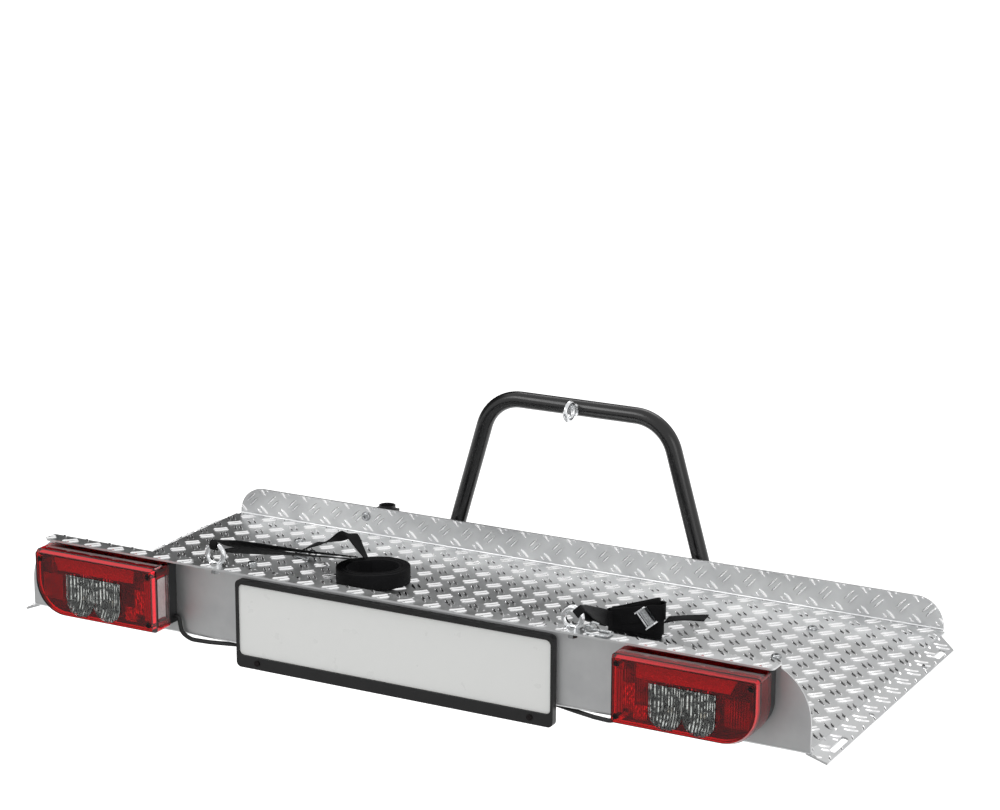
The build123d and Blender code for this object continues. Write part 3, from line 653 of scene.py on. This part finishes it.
lampInside = {
    "face": -653.0,
    "panel": ((414, 196.5), (562, 216)),
    "panelSlant": 9.0,
    "darkSquare": ((399, 206), (411, 216)),
    "innerRibs": (383.5, 395.5, 142, 205),
    "outerRibs": (545, 584, 150, 190),
    "ribPitch": 4.0,
    "ribBehind": 7.0,           # the depths behind the lens's face
    "panelBehind": (4.5, 6.5),
    "panelLean": 3.0,
    "glowBehind": 8.0,
    "glowDepth": 3.0,
    "facetRise": 1.8,
    "darkBehind": (4.0, 8.0),
    "cupBehind": 5.2,
    "cupHollow": 11.0,
    "glow": ((404, 168, 9, 19), (421, 147, 10, 11)),
    "cupXs": (460.5, 510.0),
    "cupZ": 154.0,
    "cupRadius": 24.0,
    "cupTop": 193.0,
    "flutePitch": 4.4,
    "fluteDepth": 1.3,
    "sideWindow": ((-641, 133), (-614, 206)),
    "bowlX": -383.6,
    "bowlDepth": 6.0,
    "bowlFlute": 2.2,
    "linerBox": (127.8, 219.8, 590.8, 390.0),
    "linerCorner": 50.0,
    "linerYs": (-643.0, -614.5),
}


def reflexPanel(spec):
    # the tilted reflector behind the bright band, with one slanted end
    (lowX, lowZ), (highX, highZ) = spec["panel"]
    near, far = [spec["face"] + depth for depth in spec["panelBehind"]]
    panel = cuboid((lowX, near, lowZ), (highX, far, highZ))
    for vertex in panel.data.vertices:
        if vertex.co.x > mm(highX - 1) and vertex.co.z < mm(lowZ + 1):
            vertex.co.x -= mm(spec["panelSlant"])
        if vertex.co.z > mm(highZ - 1):
            vertex.co.y += mm(spec["panelLean"])
    bevelEdges(panel, 0.6, 2)
    return panel


def ribRow(spec, lowX, highX, lowZ, highZ):
    # half-round vertical prisms side by side
    deselectAll()
    radius = spec["ribPitch"] / 2
    centre = mm(lowX + radius, spec["face"] + spec["ribBehind"], (lowZ + highZ) / 2)
    size = {"radius": mm(radius), "depth": mm(highZ - lowZ)}
    bpy.ops.mesh.primitive_cylinder_add(vertices=10, location=centre, **size)
    rib = bpy.context.object
    bpy.ops.object.transform_apply(location=True)
    array = rib.modifiers.new("row", "ARRAY")
    array.use_relative_offset = False
    array.use_constant_offset = True
    array.constant_offset_displace = mm(spec["ribPitch"], 0, 0)
    array.count = int((highX - lowX) / spec["ribPitch"])
    applyModifiers(rib)
    return rib


def glowBlock(spec, x, z, halfWidth, halfHeight):
    # facets in front of the indicator bulb, tilted to catch the sky
    y = spec["face"] + spec["glowBehind"]
    far = y + spec["glowDepth"]
    block = cuboid((x - halfWidth, y, z - halfHeight), (x + halfWidth, far, z + halfHeight))
    editSelected(block, faceTest=lambda face: face.normal.y < -0.9)
    bpy.ops.mesh.subdivide(number_cuts=5)
    bpy.ops.object.mode_set(mode="OBJECT")
    for vertex in block.data.vertices:
        column = round((vertex.co.x - mm(x - halfWidth)) / mm(halfWidth / 3))
        row = round((vertex.co.z - mm(z - halfHeight)) / mm(halfHeight / 3))
        if vertex.co.y < mm(y + 1) and (column + row) % 2:
            vertex.co.y -= mm(spec["facetRise"])
    return block


def flutedCups(spec):
    # two concave bowls side by side with vertical flutes, cut to the window's two lobes
    lowX = spec["cupXs"][0] - spec["cupRadius"]
    highX = spec["cupXs"][1] + spec["cupRadius"]
    lowZ = spec["cupZ"] - spec["cupRadius"]
    deselectAll()
    bpy.ops.mesh.primitive_grid_add(x_subdivisions=88, y_subdivisions=18, size=1)
    sheet = bpy.context.object
    for vertex in sheet.data.vertices:
        x = lowX + (vertex.co.x + 0.5) * (highX - lowX)
        z = lowZ + (vertex.co.y + 0.5) * (spec["cupTop"] - lowZ)
        nearest = min(spec["cupXs"], key=lambda centre: abs(x - centre))
        aside = (x - nearest) / spec["cupRadius"]
        below = max(0.0, (spec["cupZ"] + 6 - z) / spec["cupRadius"])
        hollow = spec["cupHollow"] * max(0.0, 1 - aside ** 2 - 0.7 * below ** 2)
        flute = spec["fluteDepth"] * abs(math.sin(math.pi * x / spec["flutePitch"]))
        vertex.co = mm(x, spec["face"] + spec["cupBehind"] + hollow - flute, z)

    def outside(face):
        x, z = face.center.x * 1000, face.center.z * 1000
        reach = min(math.hypot(x - centre, z - spec["cupZ"]) for centre in spec["cupXs"])
        return z < spec["cupZ"] and reach > spec["cupRadius"]

    editSelected(sheet, faceTest=outside)
    bpy.ops.mesh.delete(type="FACE")
    bpy.ops.object.mode_set(mode="OBJECT")
    wall = sheet.modifiers.new("wall", "SOLIDIFY")
    wall.thickness = mm(0.8)
    wall.offset = 0
    applyModifiers(sheet)
    editSelected(sheet, faceTest=lambda face: True)
    bpy.ops.mesh.normals_make_consistent(inside=False)
    bpy.ops.object.mode_set(mode="OBJECT")
    return sheet


def lampLiner(spec):
    # metallised strip just inside the lens, along its bottom, outer side and top
    low, high, outer, inner = spec["linerBox"]
    radius = spec["linerCorner"]
    line = [(inner, low)]
    for step in range(13):
        angle = math.radians(90 * step / 12)
        line.append((outer - radius + radius * math.sin(angle), low + radius - radius * math.cos(angle)))
    line += [(outer, high - 4), (outer - 1.5, high - 1.5), (outer - 4, high), (inner, high)]
    deselectAll()
    bpy.ops.mesh.primitive_grid_add(x_subdivisions=len(line) - 1, y_subdivisions=1, size=1)
    strip = bpy.context.object
    for vertex in strip.data.vertices:
        x, z = line[round((vertex.co.x + 0.5) * (len(line) - 1))]
        vertex.co = mm(x, spec["linerYs"][0 if vertex.co.y < 0 else 1], z)
    wall = strip.modifiers.new("wall", "SOLIDIFY")
    wall.thickness = mm(0.6)
    wall.offset = 0
    applyModifiers(strip)
    editSelected(strip, faceTest=lambda face: True)
    bpy.ops.mesh.normals_make_consistent(inside=False)
    bpy.ops.object.mode_set(mode="OBJECT")
    return strip


def plateLightBowl(spec):
    # the shallow fluted bowl behind the clear side window of the left lamp
    (lowY, lowZ), (highY, highZ) = spec["sideWindow"]
    deselectAll()
    bpy.ops.mesh.primitive_grid_add(x_subdivisions=14, y_subdivisions=20, size=1)
    bowl = bpy.context.object
    for vertex in bowl.data.vertices:
        y = lowY + (vertex.co.x + 0.5) * (highY - lowY)
        z = lowZ + (vertex.co.y + 0.5) * (highZ - lowZ)
        hollow = spec["bowlDepth"] * (1 - 4 * vertex.co.x ** 2) * (1 - 4 * vertex.co.y ** 2)
        hollow += spec["bowlFlute"] * (round((vertex.co.x + 0.5) * 14) % 2)
        vertex.co = mm(spec["bowlX"] - hollow, y, z)
    wall = bowl.modifiers.new("wall", "SOLIDIFY")
    wall.thickness = mm(0.8)
    applyModifiers(bowl)
    editSelected(bowl, faceTest=lambda face: True)
    bpy.ops.mesh.normals_make_consistent(inside=False)
    bpy.ops.object.mode_set(mode="OBJECT")
    smoothByAngle(bowl, 40)
    return bowl


def addLampInsides(spec):
    bowl = plateLightBowl(spec)
    finishPiece(bowl, "plate_light_bowl", finishes["bowl"])
    panel = reflexPanel(spec)
    glow = joined([glowBlock(spec, *spot) for spot in spec["glow"]])
    (lowX, lowZ), (highX, highZ) = spec["darkSquare"]
    near, far = [spec["face"] + depth for depth in spec["darkBehind"]]
    dark = cuboid((lowX, near, lowZ), (highX, far, highZ))
    bevelEdges(dark, 0.5, 2)
    cups = flutedCups(spec)
    parts = (
        ("lamp_reflex_panel", panel, "band"),
        ("lamp_inner_ribs", ribRow(spec, *spec["innerRibs"]), "band"),
        ("lamp_outer_ribs", ribRow(spec, *spec["outerRibs"]), "board"),
        ("lamp_bright_facets", glow, "facets"),
        ("lamp_liner", lampLiner(spec), "band"),
        ("lamp_dark_square", dark, "plastic"),
        ("lamp_fluted_cups", cups, "cups"),
    )
    for name, piece, finish in parts:
        smoothByAngle(piece, 40)
        other = mirroredCopy(piece)
        finishPiece(piece, name + "_right", finishes[finish])
        finishPiece(other, name + "_left", finishes[finish])


addLampInsides(lampInside)
print("lamps done")


# lashing straps: black 25 mm webbing

webbing = {
    "width": 25.0,
    "thickness": 1.8,
    "step": 4.0,        # mm between cross lines of the band
}


def curveThrough(rows, spec):
    # rows hold place, direction across the band and width; a smooth curve runs through all three
    table = [Vector((*spot, *Vector(across).normalized(), width)) for spot, across, width in rows]
    line = []
    for index in range(len(table) - 1):
        before = table[max(index - 1, 0)]
        here, there = table[index], table[index + 1]
        after = table[min(index + 2, len(table) - 1)]
        reach = Vector((there - here)[:3]).length
        count = max(1, round(reach / spec["step"]))
        for part in range(count):
            t = part / count
            line.append(0.5 * (
                2 * here + (there - before) * t
                + (2 * before - 5 * here + 4 * there - after) * t ** 2
                + (3 * here - before - 3 * there + after) * t ** 3
            ))
    line.append(table[-1])
    return line


def webbingBand(rows, spec):
    line = curveThrough(rows, spec)
    deselectAll()
    bpy.ops.mesh.primitive_grid_add(x_subdivisions=len(line) - 1, y_subdivisions=4, size=1)
    band = bpy.context.object
    length = 0.0
    for here, there in zip(line, line[1:]):
        length += Vector((there - here)[:3]).length
    for loop in band.data.uv_layers.active.data:
        loop.uv = (loop.uv[0] * mm(length), loop.uv[1] * mm(spec["width"]))
    for vertex in band.data.vertices:
        row = line[round((vertex.co.x + 0.5) * (len(line) - 1))]
        across = Vector(row[3:6]).normalized()
        vertex.co = (Vector(row[:3]) + across * vertex.co.y * row[6]) / 1000
    wall = band.modifiers.new("thickness", "SOLIDIFY")
    wall.thickness = mm(spec["thickness"])
    wall.offset = 0
    applyModifiers(band)
    editSelected(band, faceTest=lambda face: True)
    bpy.ops.mesh.normals_make_consistent(inside=False)
    bpy.ops.object.mode_set(mode="OBJECT")
    bevelEdges(band, 0.5, 2, 60)
    smoothByAngle(band, 50)
    print("webbing", round(length), "mm long")
    return band


def coilRows(spec):
    # an oval spiral of vertical webbing, a little uneven
    rows = []
    steps = 24
    turned = Matrix.Rotation(math.radians(spec["turned"]), 3, "Z")
    for step in range(spec["turns"] * steps + 1):
        turn = step / steps
        angle = 2 * math.pi * turn
        radius = spec["inner"] + spec["pitch"] * turn + 0.25 * math.sin(5.3 * turn)
        aside = spec["straight"] / 2 * math.tanh(5 * math.sin(angle))
        spot = turned @ Vector((radius * math.cos(angle), radius * math.sin(angle) + aside, 0))
        lift = 0.5 + 0.5 * math.sin(2.1 * turn + 1)
        rows.append(((spec["centre"][0] + spot.x, spec["centre"][1] + spot.y, 122.5 + lift), (0, 0, 1), 25))
    return rows


def directionAt(table, share):
    # the direction across the band, blended between the stated shares of its length
    for (low, first), (high, last) in zip(table, table[1:]):
        if share <= high:
            return Vector(first).normalized().lerp(Vector(last).normalized(), (share - low) / (high - low))
    return Vector(table[-1][1])


def loopRows(spec):
    # two layers that run from the far end to the ring's wire and round it
    start = Vector(spec["wire"])
    run = (Vector(spec["end"]) - start)
    reach = run.length
    run.normalize()
    wrap = 4 + 2 + 0.9

    def frameAt(along):
        across = directionAt(spec["across"], max(0.0, min(1.0, along / reach)))
        across = (across - run * across.dot(run)).normalized()
        return across, across.cross(run)

    def layer(side):
        rows = []
        for along, gap, width in (
            (reach, 2.1, 25), (reach * 0.8, 2.4, 25), (reach * 0.6, 3.0, 24), (reach * 0.4, 3.6, 23),
            (72, 5.0, 20), (38, 6.0, 15), (10, wrap, 12),
        ):
            across, normal = frameAt(along)
            rows.append((start + run * along + normal * side * gap, across, width))
        return rows

    turn = []
    across, normal = frameAt(0)
    for degrees in (60, 20, -20, -60):
        angle = math.radians(degrees)
        turn.append((start - run * wrap * math.cos(angle) + normal * wrap * math.sin(angle), across, 12))
    return layer(1) + turn + list(reversed(layer(-1)))


def hankRows(spec):
    # the band goes to and fro on its edge, each turn a little tighter, and climbs at its end
    rows = []
    levels = [135 - 12.5 + rise for rise in spec["levels"]]
    up = Vector((0, 0, 1))
    for index, (low, high) in enumerate(zip(levels, levels[1:])):
        forwards = index % 2 == 0
        radius = spec["radius"] - spec["shrink"] * index
        y = spec["middleY"] + (-radius if forwards else radius)
        ends = (spec["leftX"], spec["rightX"]) if forwards else (spec["rightX"], spec["leftX"])
        for share in (0.04, 0.35, 0.65, 0.96):
            x = ends[0] + (ends[1] - ends[0]) * share
            bulge = 0.5 * math.sin(math.pi * share) * (-1 if forwards else 1)
            rows.append(((x, y + bulge, low + (high - low) * share), up, 25))
        if index < len(levels) - 2:
            turnRadius = radius - spec["shrink"] / 2
            centreY = y + turnRadius if forwards else y - turnRadius
            for degrees in (-50, 0, 50):
                angle = math.radians(degrees)
                out = turnRadius * math.cos(angle) * (1 if forwards else -1)
                aside = turnRadius * math.sin(angle) * (1 if forwards else -1)
                rows.append(((ends[1] + out, centreY + aside, high), up, 25))
    return rows


strapCoil = {
    "centre": (-241.5, -242.5),
    "inner": 32.0,
    "pitch": 2.6,
    "turns": 7,
    "straight": 20.0,
    "turned": 128,
}

strapLeftRun = {
    "wire": (-296, -604, 263),
    "end": (-286, -236, 141),
    "across": (
        (0.0, (1, 0, 0)),
        (0.1, (0.8, 0, 0.6)),
        (0.3, (0.88, 0, 0.48)),
        (0.55, (1, 0, 0.2)),
        (1.0, (1, 0, 0.08)),
    ),
}

strapRightRun = {
    "wire": (305.9, -604, 258.9),
    "end": (196, -290, 136),
    "across": ((0.0, (1, 0, -1)), (0.3, (0.7, 0, -1)), (1.0, (0.1, 0, -1))),
}

strapLeftEnd = (
    ((-271, -214, 137), (-0.3, 0.92, -0.2), 22),
    ((-284, -211.5, 151), (-0.1, 0.97, -0.1), 25),
    ((-297, -209, 166), (0.15, 0.98, 0), 25),
    ((-304, -208, 171), (0.19, 0.9, -0.2), 25),
    ((-313, -206.5, 168), (0.1, 0.7, -0.6), 25),
    ((-327, -203, 161), (0, 0.6, -0.7), 23),
    ((-345, -200, 151), (-0.1, 0.9, -0.4), 20),
    ((-366, -196, 142), (-0.3, 0.9, -0.1), 19),
    ((-385, -192, 135), (0, 0.95, 0.15), 19),
    ((-417, -186, 117.5), (0.19, 0.98, 0), 20),
)

strapRightHank = {
    "leftX": 198.0,
    "rightX": 270.0,
    "middleY": -268.0,
    "radius": 13.0,
    "shrink": 1.3,
    "levels": (13, 31, 8, 7, 0, 0, 10, 38, 12, 20),
}

strapRightEnd = (
    ((284.8, -268, 141), (-0.1, 1.0, 0.1), 24),
    ((300, -267, 145.5), (-0.1, 1.0, 0.0), 25),
    ((320, -265.5, 149.5), (-0.1, 1.0, 0.0), 25),
    ((348, -263.5, 153), (-0.1, 1.0, 0.1), 24),
)


def addStraps():
    cloth = finishes["webbing"]
    coilStep = dict(webbing, step=7.0)
    coil = webbingBand(coilRows(strapCoil), coilStep)
    finishPiece(coil, "left_strap_coil", cloth, ("strap_left_coil",))
    run = webbingBand(loopRows(strapLeftRun), webbing)
    finishPiece(run, "left_strap_run", cloth, ("strap_left_run",))
    end = webbingBand(strapLeftEnd, webbing)
    finishPiece(end, "left_strap_end", cloth, ("strap_left_end",))
    hank = webbingBand(hankRows(strapRightHank), webbing)
    finishPiece(hank, "right_strap_hank", cloth, ("strap_right_hank",))
    run = webbingBand(loopRows(strapRightRun), webbing)
    finishPiece(run, "right_strap_run", cloth, ("strap_right_run",))
    end = webbingBand(strapRightEnd, webbing)
    finishPiece(end, "right_strap_end", cloth, ("strap_right_end",))


addStraps()
print("straps done")
